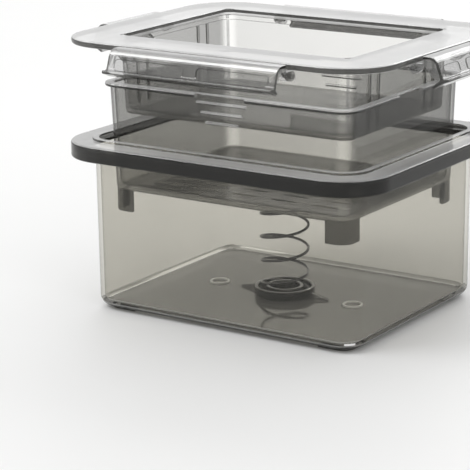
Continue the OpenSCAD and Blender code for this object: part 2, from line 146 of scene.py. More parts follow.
# Basket
RIM_OUT = 2.4
RIM_T = 1.8
RIM_SET = 0.1                   # from the wall's top down to the rim's
BASKET_LEAN = 1.5
BASKET_R = 7.0
BASKET_WALL = 1.8
BASKET_FLOOR = 2.2
BASKET_EDGE = 10.0              # how far in the floor's one flat face begins
LEG_H = 10.0
LEG_L = 11.5
LEG_T = 2.4
LEG_SET = 0.15                  # from the wall's outside in to the legs'
LEG_ROOT = 1.7
SOCKET_H = 5.0
SOCKET_ROOT = 1.0
GRIP_W = 27.0
SIDE_BREAK = 22.0
GRIP_BARS = 3
GRIP_PITCH = 4.6
GRIP_BAR_H = 1.4
GRIP_OUT = 1.2
BAR_ROOT = 0.6                  # how deep the grip bars and the guide ribs start
SLOT_L = 14.0
SLOT_W = 2.4
SLOT_PITCH_X = 22.0
SLOT_PITCH_Y = 10.0
SLOTS_X = 5
SLOTS_Y = 8

RIM_Z = BASKET_HIGH.z
BASKET_Z = BASKET_LOW.z + LEG_H
BASKET_W = BASKET_HIGH.x - BASKET_LOW.x - 2 * (RIM_OUT + BASKET_LEAN)
BASKET_D = BASKET_HIGH.y - BASKET_LOW.y - 2 * (RIM_OUT + BASKET_LEAN)

# Lid frame and press tray
LID_T = 3.0
LID_R = 25.0
LID_EDGE = 4.0                  # how far in from the lid's edge its flat part begins
WINDOW_EDGE = 2.0               # how far out from the window the flat part ends
DARK_BAND_H = 1.6               # height of the band of painted shade round the window
DARK_RIM_IN = 25.6              # how far in from the lid's edge its rim of painted shade is looked for
DARK_RIM_SET = 0.5              # from the lid's top down to its rim of painted shade
TRAY_WALL = 1.6
TRAY_FLOOR = 2.0
TRAY_LEAN = 1.0
TRAY_R = 6.6
TRAY_EDGE = 8.0                 # how far in the floor's one flat face begins
BAND_H = 2.5
BAND_OUT = 1.0
RIB_OUT = 0.9
RIB_W = 1.6
RIB_Y = 25.5
RIB_GAP = 8.0
RIB_FOOT = 2.5                  # from the tray's underside up to the ribs
CORNER_LINE_IN = 3.0            # how far in the painted dark lines down the tray's corners may be

LID_W = LID_HIGH.x - LID_LOW.x
LID_D = LID_HIGH.y - LID_LOW.y
LID_Z = LID_HIGH.z - LID_T
TRAY_Z = TRAY_LOW.z
TRAY_W = TRAY_HIGH.x - TRAY_LOW.x - 2 * (BAND_OUT + TRAY_LEAN)
TRAY_D = TRAY_HIGH.y - TRAY_LOW.y - 2 * (BAND_OUT + TRAY_LEAN)

# Latches, drawn in outward and upward sizes from the pivot
PIVOT_IN = 4.5
PIVOT_DROP = 3.4
LATCH_LONG = 90.0
LATCH_SHORT = 43.0
LATCH_T = 1.6
LATCH_R = 5.0
EDGE_GAP = 0.3
TOP_SINK = 0.5
FACE_LEAN = math.radians(20)
LATCH_SWING = math.radians(40)
FINGER_OUT = 3.0
CHEEK_T = 2.0
PANEL_H = 5.0
PANEL_SINK = 0.6
PANEL_BAR = 7.0
PIN_D = 2.4
BOSS_R = 2.6
PIN_HEAD_D = 3.6
PIN_HEAD_T = 0.6
LUG_T = 3.0
LUG_ROOT = 0.6
SIDE_GAP = 0.3
PIN_STEPS = 32
PANEL_R = 1.6
END_SKIN = 0.01                 # from the shell's ends in to the cheeks
CHEEK_SET = (-0.2, 0.1)         # from the face's low end to the cheeks' low corner
BRIGHT_BEND = 0.62              # upward part of the normal where the bend's painted bright strip starts

# Latches, as they are closed round the container's lip
BEAD_GAP = 0.3
HOOK_IN = 1.7
HOOK_T = 1.6
FACE_BELOW = 0.9
SHELL_GAP = 0.8
CHEEK_GAP = 1.3
HOOK_DROP = LIP_H + BEAD_H + BEAD_GAP + BOSS_R

CORNERS = [(sx, sy) for sx in (-1, 1) for sy in (-1, 1)]

# Each side of the lid: its turn in degrees, how far out the lid's edge is, its latch's
# length, and how far out from its pivot the flange's edge is
Side = namedtuple("Side", "turn half length edge")
EDGE_X = PIVOT_IN + (FLANGE_W - LID_W) / 2
EDGE_Y = PIVOT_IN + (FLANGE_D - LID_D) / 2
SIDES = {
    "front": Side(180, LID_D / 2, LATCH_LONG, EDGE_Y),
    "back": Side(0, LID_D / 2, LATCH_LONG, EDGE_Y),
    "left": Side(90, LID_W / 2, LATCH_SHORT, EDGE_X),
    "right": Side(-90, LID_W / 2, LATCH_SHORT, EDGE_X),
}


# ---------------------------------------------------------------- outlines

def turned(vector, angle):
    """A flat vector, turned counter-clockwise."""
    return Matrix.Rotation(angle, 2) @ vector


def filleted(corners, closed=True):
    """Points of an outline with round corners. Each corner is (u, v, radius)."""
    points = []
    last = len(corners) - 1
    for i, (u, v, radius) in enumerate(corners):
        here = Vector((u, v))
        if radius == 0 or (not closed and i in (0, last)):
            points.append(here)
            continue
        before = (Vector(corners[i - 1][:2]) - here).normalized()
        after = (Vector(corners[(i + 1) % len(corners)][:2]) - here).normalized()
        half = before.angle(after) / 2
        centre = here + (before + after).normalized() * radius / math.sin(half)
        start = here + before * radius / math.tan(half) - centre
        end = here + after * radius / math.tan(half) - centre
        turn = math.atan2(start.x * end.y - start.y * end.x, start.dot(end))
        steps = max(2, math.ceil(abs(turn) / ARC_STEP))
        points += [centre + turned(start, turn * k / steps) for k in range(steps + 1)]
    return points


def upright(start, end, root, tip, radius):
    """Section of something that stands or hangs, from one side to the other, round at its tip."""
    return filleted([(start, root, 0), (start, tip, radius), (end, tip, radius), (end, root, 0)])


class Wall:
    """A wall round a rectangle with round corners, which leans out on its way up.

    Its corner radius grows by what is left of the lean once the share is taken off.
    """

    def __init__(self, width, depth, radius, low=0.0, high=1.0, lean=0.0, share=1.0):
        self.width, self.depth, self.radius = width, depth, radius
        self.low, self.high = low, high
        self.lean, self.share = lean, share

    def lean_at(self, z):
        """How far the wall has leaned out at height z."""
        climb = (z - self.low) / (self.high - self.low)
        return self.lean * min(1.0, max(0.0, climb))

    def radius_at(self, out, z):
        """Corner radius at height z, for an outline moved out from the wall's base."""
        return max(LEAST_R, self.radius + out - self.share * self.lean_at(z))

    def ring(self, out, z):
        """Points at height z round the outline, moved out from its base."""
        w, d, r = self.width / 2 + out, self.depth / 2 + out, self.radius_at(out, z)
        points = []
        for quarter, (sx, sy) in enumerate(((1, 1), (-1, 1), (-1, -1), (1, -1))):
            for step in range(CORNER_STEPS + 1):
                a = math.radians(90 * (quarter + step / CORNER_STEPS))
                points.append((sx * (w - r) + r * math.cos(a), sy * (d - r) + r * math.sin(a), z))
        return points

    def corner(self, sx, sy, reach_x, reach_y, section, z):
        """Rings of a strip round one corner, as far as reach along each edge.

        The section is drawn in outward sizes from the wall and in heights.
        """
        base = self.lean_at(z)
        w, d, r = self.width / 2 + base, self.depth / 2 + base, self.radius_at(base, z)
        path = [(w, d - reach_y, 1.0, 0.0)]
        for step in range(CORNER_STEPS + 1):
            a = math.radians(90 * step / CORNER_STEPS)
            nx, ny = math.cos(a), math.sin(a)
            path.append((w - r + r * nx, d - r + r * ny, nx, ny))
        path.append((w - reach_x, d, 0.0, 1.0))
        return [[(sx * (x + nx * p.x), sy * (y + ny * p.x), p.y) for p in section]
                for x, y, nx, ny in path]


# ---------------------------------------------------------------- meshes

def lofted(rings, closed=False):
    """Points and faces through rings of as many points. An open loft is capped."""
    size = len(rings[0])
    points = [p for ring in rings for p in ring]
    faces = []
    for i in range(len(rings) if closed else len(rings) - 1):
        a, b = i * size, (i + 1) % len(rings) * size
        for k in range(size):
            n = (k + 1) % size
            faces.append((a + k, a + n, b + n, b + k))
    if not closed:
        faces.append(tuple(range(size))[::-1])
        faces.append(tuple(range(len(points) - size, len(points))))
    return points, faces


def extruded(outline, length, bevel=BEVEL):
    """A flat outline made into a plate from x = 0, with round edges at both ends.

    The outline runs counter-clockwise in outward and upward sizes, seen with x towards the eye.
    """
    count = len(outline)
    normals = []
    for i in range(count):
        along = (outline[(i + 1) % count] - outline[i - 1]).normalized()
        normals.append(Vector((along.y, -along.x)))
    shape = []
    for k in range(BEVEL_STEPS + 1):
        a = math.pi / 2 * k / BEVEL_STEPS
        shape.append((bevel * (1 - math.sin(a)), bevel * (1 - math.cos(a))))
    layers = [(x, inset) for inset, x in shape] if bevel else [(0, 0)]
    layers += [(length - x, inset) for x, inset in reversed(layers)]
    rings = [[(x, p.x - n.x * inset, p.y - n.y * inset) for p, n in zip(outline, normals)]
             for x, inset in layers]
    return lofted(rings)


def turned_round(section, steps):
    """A section of (radius, height) points turned round the Z axis."""
    rings = []
    for k in range(steps):
        a = 2 * math.pi * k / steps
        rings.append([(p.x * math.cos(a), p.x * math.sin(a), p.y) for p in section])
    return lofted(rings, closed=True)


def merged(parts):
    """Several (points, faces) as one."""
    points, faces = [], []
    for more_points, more_faces in parts:
        start = len(points)
        points += more_points
        faces += [tuple(start + i for i in face) for face in more_faces]
    return points, faces


def placed(part, matrix):
    """The part's points, moved by a matrix in millimetres."""
    points, faces = part
    return [tuple(matrix @ Vector(p)) for p in points], faces


def new_piece(name, part):
    """A Blender object from points in millimetres and faces, with its normals outward."""
    points, faces = part
    mesh = bpy.data.meshes.new(name)
    mesh.from_pydata([Vector(p) * MM for p in points], [], faces)
    work = bmesh.new()
    work.from_mesh(mesh)
    bmesh.ops.remove_doubles(work, verts=work.verts, dist=WELD)
    bmesh.ops.recalc_face_normals(work, faces=work.faces)
    work.to_mesh(mesh)
    work.free()
    piece = bpy.data.objects.new(name, mesh)
    bpy.context.scene.collection.objects.link(piece)
    return piece


def baked(piece):
    """Applies the piece's modifiers."""
    graph = bpy.context.evaluated_depsgraph_get()
    mesh = bpy.data.meshes.new_from_object(piece.evaluated_get(graph))
    piece.modifiers.clear()
    piece.data = mesh


def combined(piece, part, operation):
    """Joins a part to a piece (UNION) or cuts it away (DIFFERENCE)."""
    tool = new_piece("tool", part)
    cut = piece.modifiers.new("combine", "BOOLEAN")
    cut.object = tool
    cut.operation = operation
    cut.solver = "EXACT"
    baked(piece)
    bpy.data.objects.remove(tool)


def finished(piece, body, node, material):
    """Shades a piece, dresses it and ties it to the body and the node it stands for."""
    mesh = piece.data
    for polygon in mesh.polygons:
        polygon.use_smooth = True
    mesh.set_sharp_from_angle(angle=SHARP)
    weighted = piece.modifiers.new("even shading", "WEIGHTED_NORMAL")
    weighted.keep_sharp = True
    mesh.materials.clear()
    mesh.materials.append(material)
    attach(piece, body)
    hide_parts(node)


def painted(piece, material, where):
    """Gives the faces for which where(centre in mm, normal) is true another material."""
    mesh = piece.data
    mesh.materials.append(material)
    index = len(mesh.materials) - 1
    for polygon in mesh.polygons:
        if where(polygon.center / MM, polygon.normal):
            polygon.material_index = index


# ---------------------------------------------------------------- materials

class Nodes:
    """A node tree with short calls for the nodes used here."""

    def __init__(self, owner):
        owner.use_nodes = True
        self.tree = owner.node_tree
        self.tree.nodes.clear()

    def add(self, kind, **values):
        """A node of that kind, with its properties and its sockets' values set."""
        node = self.tree.nodes.new(kind)
        for name, value in values.items():
            if hasattr(node, name):
                setattr(node, name, value)
            else:
                node.inputs[name.replace("_", " ")].default_value = value
        return node

    def link(self, source, target):
        """Joins an output to an input."""
        self.tree.links.new(source, target)

    def noise(self, scale, detail, stretch=(1, 1, 1)):
        """Noise in the piece's own coordinates. The scale is in patches per metre."""
        place = self.add("ShaderNodeTexCoord")
        mapping = self.add("ShaderNodeMapping")
        mapping.inputs["Scale"].default_value = stretch
        texture = self.add("ShaderNodeTexNoise", Scale=scale, Detail=detail)
        self.link(place.outputs["Object"], mapping.inputs["Vector"])
        self.link(mapping.outputs["Vector"], texture.inputs["Vector"])
        return texture.outputs["Fac"]

    def ranged(self, source, low, high, from_low=0.0, from_high=1.0):
        """A value carried over from one range to another."""
        node = self.add("ShaderNodeMapRange")
        node.inputs["From Min"].default_value = from_low
        node.inputs["From Max"].default_value = from_high
        node.inputs["To Min"].default_value = low
        node.inputs["To Max"].default_value = high
        self.link(source, node.inputs["Value"])
        return node.outputs["Result"]

    def maths(self, operation, first, second):
        """The result of an operation on two values, each a number or an output."""
        node = self.add("ShaderNodeMath", operation=operation)
        for value, socket in ((first, node.inputs[0]), (second, node.inputs[1])):
            if isinstance(value, (int, float)):
                socket.default_value = value
            else:
                self.link(value, socket)
        return node.outputs["Value"]

    def colours(self, factor, low, high):
        """A colour that goes from low to high with the factor."""
        node = self.add("ShaderNodeMix", data_type="RGBA")
        node.inputs[6].default_value = (*low, 1)
        node.inputs[7].default_value = (*high, 1)
        self.link(factor, node.inputs[0])
        return node.outputs[2]

    def bump(self, height, distance):
        """A normal for the surface that a height gives. The distance is in metres."""
        node = self.add("ShaderNodeBump", Strength=1.0, Distance=distance)
        self.link(height, node.inputs["Height"])
        return node.outputs["Normal"]


WARM = (0.996, 0.988, 0.958)
COOL = (0.998, 0.996, 0.986)
WHITE = (1.0, 1.0, 1.0)

# Noise, in patches per metre, and bumps, in metres
CLOUDS = 38
SCUFFS = 420
RIPPLES = 75
RIPPLE_H = 0.00003
BLOOM = 300
DRAWN_LINES = 900
LINE_H = 0.00002
TABLE_GRAIN = 6


def clear_plastic(name, tint, face_on, grazing, ior=1.5, rise=3.0, glass=WARM):
    """Clear tinted plastic. face_on and grazing are how much of what is behind it a surface hides.

    A low rise makes walls that are seen aslant darker, as a longer way through them would.
    """
    material = bpy.data.materials.new(name)
    nodes = Nodes(material)
    surface = nodes.add("ShaderNodeBsdfPrincipled")
    surface.inputs["IOR"].default_value = ior
    clouds = nodes.noise(CLOUDS, 4)
    shade = nodes.colours(clouds, [c * 0.9 for c in tint], [c * 1.1 for c in tint])
    nodes.link(shade, surface.inputs["Base Color"])
    scuffs = nodes.noise(SCUFFS, 5, (1, 1, 0.25))
    nodes.link(nodes.ranged(scuffs, 0.03, 0.09, 0.35, 0.7), surface.inputs["Roughness"])
    nodes.link(nodes.bump(nodes.noise(RIPPLES, 2), RIPPLE_H), surface.inputs["Normal"])

    through = nodes.add("ShaderNodeBsdfTransparent")
    through.inputs["Color"].default_value = (*glass, 1)
    weight = nodes.add("ShaderNodeLayerWeight", Blend=0.5)
    aslant = nodes.maths("POWER", weight.outputs["Facing"], rise)
    hidden = nodes.ranged(aslant, face_on, grazing)
    uneven = nodes.maths("ADD", hidden, nodes.ranged(clouds, -0.015, 0.015))
    mix = nodes.add("ShaderNodeMixShader")
    nodes.link(uneven, mix.inputs[0])
    nodes.link(through.outputs[0], mix.inputs[1])
    nodes.link(surface.outputs[0], mix.inputs[2])
    output = nodes.add("ShaderNodeOutputMaterial")
    nodes.link(mix.outputs[0], output.inputs["Surface"])
    return material


def spring_steel():
    """Bright drawn wire with fine lengthwise lines and a little grey bloom."""
    material = bpy.data.materials.new("spring_steel")
    nodes = Nodes(material)
    surface = nodes.add("ShaderNodeBsdfPrincipled", Metallic=1.0)
    bloom = nodes.noise(BLOOM, 4)
    shade = nodes.colours(bloom, (0.08, 0.08, 0.083), (0.2, 0.2, 0.205))
    nodes.link(shade, surface.inputs["Base Color"])
    lines = nodes.noise(DRAWN_LINES, 3, (1, 1, 6))
    nodes.link(nodes.ranged(lines, 0.16, 0.34), surface.inputs["Roughness"])
    nodes.link(nodes.bump(lines, LINE_H), surface.inputs["Normal"])
    output = nodes.add("ShaderNodeOutputMaterial")
    nodes.link(surface.outputs[0], output.inputs["Surface"])
    return material


wall_plastic = clear_plastic("smoke_wall", (0.10, 0.099, 0.093), 0.17, 0.88, rise=5)
basket_plastic = clear_plastic("smoke_basket", (0.035, 0.035, 0.033), 0.0, 1.0,
                               ior=1.42, rise=1.13, glass=COOL)
tray_plastic = clear_plastic("smoke_tray", (0.05, 0.05, 0.048), 0.0, 1.0,
                             ior=1.42, rise=1.25, glass=COOL)
floor_plastic = clear_plastic("smoke_floor", (0.24, 0.239, 0.232), 0.42, 0.92, ior=2.3, rise=1.0)
# Painted shade: a near black plastic put on edges, bands and undersides that look dark
painted_shade_plastic = clear_plastic("smoke_painted_shade", (0.006, 0.006, 0.005), 0.86, 0.97, ior=1.42)
leg_plastic = clear_plastic("smoke_leg", (0.02, 0.02, 0.018), 0.66, 0.9, ior=1.42)
# Painted highlight: a near white plastic put on thin strips where a bright line of reflected light
# shows
painted_highlight_plastic = clear_plastic("smoke_painted_highlight", (0.9, 0.9, 0.89), 0.94, 0.98, ior=2.4)
# Painted highlight: a bright strip along the latches' bend
gleam_plastic = clear_plastic("smoke_gleam", (0.8, 0.8, 0.79), 0.62, 0.92, ior=2.2, glass=WHITE)
# The lid's own smoke plastic, lightened as a painted reflection; also put on bright faces of other
# pieces as a painted highlight
lid_and_sheen_plastic = clear_plastic("smoke_lid_and_sheen", (0.8, 0.8, 0.795), 0.3, 0.95, ior=2.8, glass=WHITE)
latch_plastic = clear_plastic("smoke_latch", (0.1, 0.1, 0.095), 0.42, 0.95,
                              ior=1.9, rise=2.0, glass=WHITE)
shell_plastic = clear_plastic("smoke_shell", (0.5, 0.5, 0.49), 0.08, 0.6, glass=WHITE)
seat_plastic = clear_plastic("smoke_seat", (0.012, 0.012, 0.012), 0.84, 0.97, ior=1.45)
steel = spring_steel()


# ---------------------------------------------------------------- container

def container():
    """The box with its flange, lip, mouth bead, feet and floor rings."""
    wall = Wall(BASE_W, BASE_D, CONTAINER_R, FOOT_H, FLANGE_TOP, CONTAINER_LEAN, share=0.5)
    flange_z = FLANGE_TOP - FLANGE_T
    lip_z = FLANGE_TOP - LIP_H
    edge = CONTAINER_LEAN + FLANGE_OUT
    inner_low = wall.lean_at(FLOOR_TOP) - CONTAINER_WALL
    profile = filleted([
        (-FLOOR_EDGE, FOOT_H, 0),
        (0, FOOT_H, BOTTOM_R),
        (wall.lean_at(flange_z), flange_z, 1),
        (edge - LIP_T, flange_z, 0.8),
        (edge - LIP_T, lip_z, 0.7),
        (edge, lip_z, 0.8),
        (edge, FLANGE_TOP, 1.2),
        (CONTAINER_LEAN + BEAD_OUT, FLANGE_TOP, 0.5),
        (CONTAINER_LEAN + BEAD_OUT, FLANGE_TOP + BEAD_H, 0.5),
        (CONTAINER_LEAN - CONTAINER_WALL, FLANGE_TOP + BEAD_H, 0.6),
        (inner_low, FLOOR_TOP, BOTTOM_R - CONTAINER_WALL),
        (-FLOOR_EDGE, FLOOR_TOP, 0),
    ], closed=False)
    piece = new_piece("container", lofted([wall.ring(p.x, p.y) for p in profile]))

    foot = upright(-FOOT_IN, -FOOT_IN - FOOT_T, FOOT_TOP, 0, 0.5)
    feet = [lofted(wall.corner(sx, sy, FOOT_L, FOOT_L, foot, 0)) for sx, sy in CORNERS]
    outer = FLOOR_RING_D / 2
    section = upright(outer, outer - FLOOR_RING_T, FLOOR_TOP - ROOT, FLOOR_TOP + FLOOR_RING_H, 0.35)
    ring = turned_round(section, RING_STEPS)
    rings = [placed(ring, Matrix.Translation((x, 0, 0))) for x in (-FLOOR_RING_X, FLOOR_RING_X)]
    combined(piece, merged(feet + rings), "UNION")
    finished(piece, "container", "outer_container", wall_plastic)
    painted(piece, floor_plastic, lambda c, n: c.z < FLOOR_TOP + NEAR)
    # Painted highlight: a bright line along the low part of the fillet round the floor
    painted(piece, painted_highlight_plastic, lambda c, n: is_floor_fillet(wall, inner_low, c))
    # Painted highlight: the floor rings are drawn bright
    painted(piece, painted_highlight_plastic, lambda c, n: FLOOR_TOP + NEAR < c.z and abs(c.y) < FLOOR_RING_D
            and abs(abs(c.x) - FLOOR_RING_X) < FLOOR_RING_D)
    # Painted shade: a dark band round the outer bottom edge and the feet
    painted(piece, painted_shade_plastic, lambda c, n: c.z < FOOT_H + DARK_EDGE_H and n.z < TILT
            and not is_underside(c, n))
    # Painted shade: flange, lip and bead drawn near black, for the darkness of light's long way
    # through the thick lip
    painted(piece, painted_shade_plastic, lambda c, n: c.z > lip_z - NEAR and not is_wall_face(wall, c, n))
    # Painted reflection: the flange's upward faces are drawn light
    painted(piece, lid_and_sheen_plastic, lambda c, n: c.z > flange_z and n.z > 0.7)


def is_floor_fillet(wall, inner, centre):
    """Whether a face is on the low part of the fillet between the floor and the walls, where a
    highlight is painted.
    """
    beyond_x = abs(centre.x) - wall.width / 2 - inner
    beyond_y = abs(centre.y) - wall.depth / 2 - inner
    reach = BOTTOM_R - CONTAINER_WALL
    beside = any(-reach < beyond < 2 * NEAR for beyond in (beyond_x, beyond_y))
    return beside and FLOOR_TOP + NEAR < centre.z < FLOOR_TOP + BRIGHT_FILLET_H


def is_underside(centre, normal):
    """Whether a face belongs to the flat underside of the floor."""
    return normal.z < -0.995 and centre.z > FOOT_H - NEAR


def is_wall_face(wall, centre, normal):
    """Whether a face belongs to the upright wall itself and not to the lip."""
    return is_inside(wall, centre, BOTTOM_R) and abs(normal.z) < 0.2


def spring_seat():
    """The collar that holds the spring's lower end, with an inner ring and two fins."""
    z = SEAT_LOW.z + SEAM
    top = SEAT_HIGH.z
    base = SEAT_LOW.z + SEAT_BASE
    outer, inner = SEAT_D / 2, CORE_D / 2
    section = filleted([
        (AXIS, z, 0), (outer, z, 0.3), (outer, top, 0.6), (outer - SEAT_WALL, top, 0.6),
        (outer - SEAT_WALL, base, 0.5), (inner, base, 0.5), (inner, top, 0.6),
        (inner - SEAT_WALL, top, 0.6), (inner - SEAT_WALL, base, 0.5), (AXIS, base, 0),
    ])
    piece = new_piece("spring_seat", turned_round(section, SEAT_STEPS))
    root = outer - SEAT_WALL / 2
    outline = filleted([(root, z, 0), (FIN_REACH, z, 0.4),
                        (FIN_REACH, z + FIN_TIP_H, 0.4), (root, top - FIN_DROP, 0)])
    fin = placed(extruded(outline, FIN_T, 0.4), Matrix.Translation((-FIN_T / 2, 0, 0)))
    fins = [placed(fin, Matrix.Rotation(math.radians(a), 4, "Z")) for a in (90, -90)]
    combined(piece, merged(fins), "UNION")
    finished(piece, "container", "spring_seat", seat_plastic)
    # Painted highlight: the tops of the seat's rims are drawn bright
    painted(piece, lid_and_sheen_plastic, lambda c, n: c.z > top - SEAT_RIM_H
            and math.hypot(c.x, c.y) < outer - NEAR)
    painted(piece, latch_plastic, lambda c, n: math.hypot(c.x, c.y) > outer + 0.3
            and (abs(n.x) > 0.9 or abs(n.x) < 0.1))


# ---------------------------------------------------------------- spring

def spring():
    """One unbroken tube: a flat half coil, the climb and a flat half coil."""
    rings = []
    low = SPRING_LOW.z + WIRE_D / 2
    climb = SPRING_HIGH.z - SPRING_LOW.z - WIRE_D
    for i in range(int(SPRING_TURNS * RINGS_PER_TURN) + 1):
        turns = i / RINGS_PER_TURN
        share = min(1.0, max(0.0, (turns - FLAT_TURNS) / (SPRING_TURNS - 2 * FLAT_TURNS)))
        ease = share + EASE * math.sin(2 * math.pi * share) * (share - 1) * share
        a = SPRING_START + 2 * math.pi * turns
        out = Vector((math.cos(a), math.sin(a), 0))
        centre = out * SPRING_D / 2 + Vector((0, 0, low + climb * ease))
        rings.append([centre + WIRE_D / 2 * (out * math.cos(b) + Vector((0, 0, math.sin(b))))
                      for b in (2 * math.pi * k / WIRE_SIDES for k in range(WIRE_SIDES))])
    piece = new_piece("coil_spring", lofted(rings))
    finished(piece, "container", "spring", steel)
    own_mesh(piece)


# ---------------------------------------------------------------- basket

def basket():
    """The tofu basket with its rims, legs, socket, grips and drain slots."""
    wall = Wall(BASKET_W, BASKET_D, BASKET_R, BASKET_Z, RIM_Z, BASKET_LEAN)
    floor_z = BASKET_Z + BASKET_FLOOR
    profile = filleted([
        (-BASKET_EDGE, BASKET_Z, 0),
        (0, BASKET_Z, 2.2),
        (BASKET_LEAN, RIM_Z, 0.6),
        (BASKET_LEAN - BASKET_WALL, RIM_Z, 0.6),
        (wall.lean_at(floor_z) - BASKET_WALL, floor_z, 2),
        (-BASKET_EDGE, floor_z, 0),
    ], closed=False)
    piece = new_piece("basket", lofted([wall.ring(p.x, p.y) for p in profile]))

    rim_reach = BASKET_W / 2 + BASKET_LEAN - GRIP_W / 2
    side_reach = BASKET_D / 2 + BASKET_LEAN - SIDE_BREAK / 2
    rim_top, rim_low = RIM_Z - RIM_SET, RIM_Z - RIM_T
    rim = filleted([(-BASKET_WALL / 2, rim_top, 0), (RIM_OUT, rim_top, 0.6),
                    (RIM_OUT, rim_low, 0.6), (-BASKET_WALL / 2, rim_low, 0)])
    rims = [lofted(wall.corner(sx, sy, rim_reach, side_reach, rim, RIM_Z)) for sx, sy in CORNERS]
    leg = upright(-LEG_SET, -LEG_T, BASKET_Z + LEG_ROOT, BASKET_Z - LEG_H, 0.5)
    legs = [lofted(wall.corner(sx, sy, LEG_L, LEG_L, leg, BASKET_Z)) for sx, sy in CORNERS]
    outer = SEAT_D / 2
    socket = upright(outer, outer - SEAT_WALL, BASKET_Z + SOCKET_ROOT, BASKET_Z - SOCKET_H, 0.5)
    additions = rims + legs + [turned_round(socket, SEAT_STEPS)] + grips(wall)
    combined(piece, merged(additions), "UNION")
    combined(piece, drain_slots(), "DIFFERENCE")
    finished(piece, "basket", "basket", basket_plastic)
    rim_middle = rim_low + RIM_T / 2
    grip_low = RIM_Z - RIM_T - GRIP_BARS * GRIP_PITCH
    painted(piece, floor_plastic, lambda c, n: BASKET_Z - NEAR < c.z < floor_z + NEAR)
    painted(piece, leg_plastic, lambda c, n: c.z < BASKET_Z - NEAR)
    # Painted shade under the rim's middle and a painted highlight above it
    painted(piece, painted_shade_plastic, lambda c, n: rim_low - SEAM < c.z < rim_middle)
    painted(piece, lid_and_sheen_plastic, lambda c, n: c.z > rim_middle)
    # Painted highlight on the grip bars' upper faces and painted shade under them
    painted(piece, lid_and_sheen_plastic, lambda c, n: on_grip(wall, c) and c.z > grip_low and n.z > -TILT)
    painted(piece, painted_shade_plastic, lambda c, n: on_grip(wall, c) and c.z > grip_low and n.z < -TILT)


def on_grip(wall, centre):
    """Whether a face stands out past the front or back wall, where the grip bars are."""
    face = wall.depth / 2 + wall.lean_at(centre.z)
    stands_out = abs(centre.y) > face + SEAM
    return stands_out and abs(centre.x) < GRIP_W / 2 + NEAR and centre.z < RIM_Z - RIM_T


def grips(wall):
    """Bars under the break in the rim, front and back, each shorter than the one above."""
    bars = []
    for i in range(GRIP_BARS):
        z = RIM_Z - RIM_T - GRIP_PITCH * (i + 0.5)
        y = wall.depth / 2 + wall.lean_at(z)
        length = GRIP_W - i * GRIP_PITCH
        low, high = z - GRIP_BAR_H / 2, z + GRIP_BAR_H / 2
        outline = filleted([(y - BAR_ROOT, low, 0), (y + GRIP_OUT, low, 0.5),
                            (y + GRIP_OUT, high, 0.5), (y - BAR_ROOT, high, 0)])
        bar = placed(extruded(outline, length, 0.4), Matrix.Translation((-length / 2, 0, 0)))
        bars += [bar, placed(bar, Matrix.Rotation(math.pi, 4, "Z"))]
    return bars


def drain_slots():
    """Cutters with round ends, one for each slot in the floor."""
    slots = []
    low, high = BASKET_Z - CUT, BASKET_Z + BASKET_FLOOR + CUT
    half_l, half_w = SLOT_L / 2, SLOT_W / 2
    r = half_w - 0.01           # a little less, so that the ends do not meet in a point
    flat = filleted([(half_l, -half_w, r), (half_l, half_w, r),
                     (-half_l, half_w, r), (-half_l, -half_w, r)])
    for i in range(SLOTS_X):
        for j in range(SLOTS_Y):
            x = (i - (SLOTS_X - 1) / 2) * SLOT_PITCH_X
            y = (j - (SLOTS_Y - 1) / 2) * SLOT_PITCH_Y
            if math.hypot(x, y) > (SEAT_D + SLOT_L) / 2:
                slots.append(lofted([[(x + p.x, y + p.y, z) for p in flat] for z in (low, high)]))
    return merged(slots)


# ---------------------------------------------------------------- lid

def on_side(side):
    """Places what is drawn round a pivot on one side of the lid."""
    turn = Matrix.Rotation(math.radians(SIDES[side].turn), 4, "Z")
    return turn @ Matrix.Translation((0, SIDES[side].half - PIVOT_IN, LID_Z - PIVOT_DROP))


def bore(length, place):
    """Cutter for a pin's bore, through something of that length which starts at the place."""
    radius = PIN_D / 2 + SEAM
    turns = [2 * math.pi * k / PIN_STEPS for k in range(PIN_STEPS)]
    outline = [Vector((radius * math.cos(a), radius * math.sin(a))) for a in turns]
    return placed(extruded(outline, length + 2 * CUT, 0), place @ Matrix.Translation((-CUT, 0, 0)))


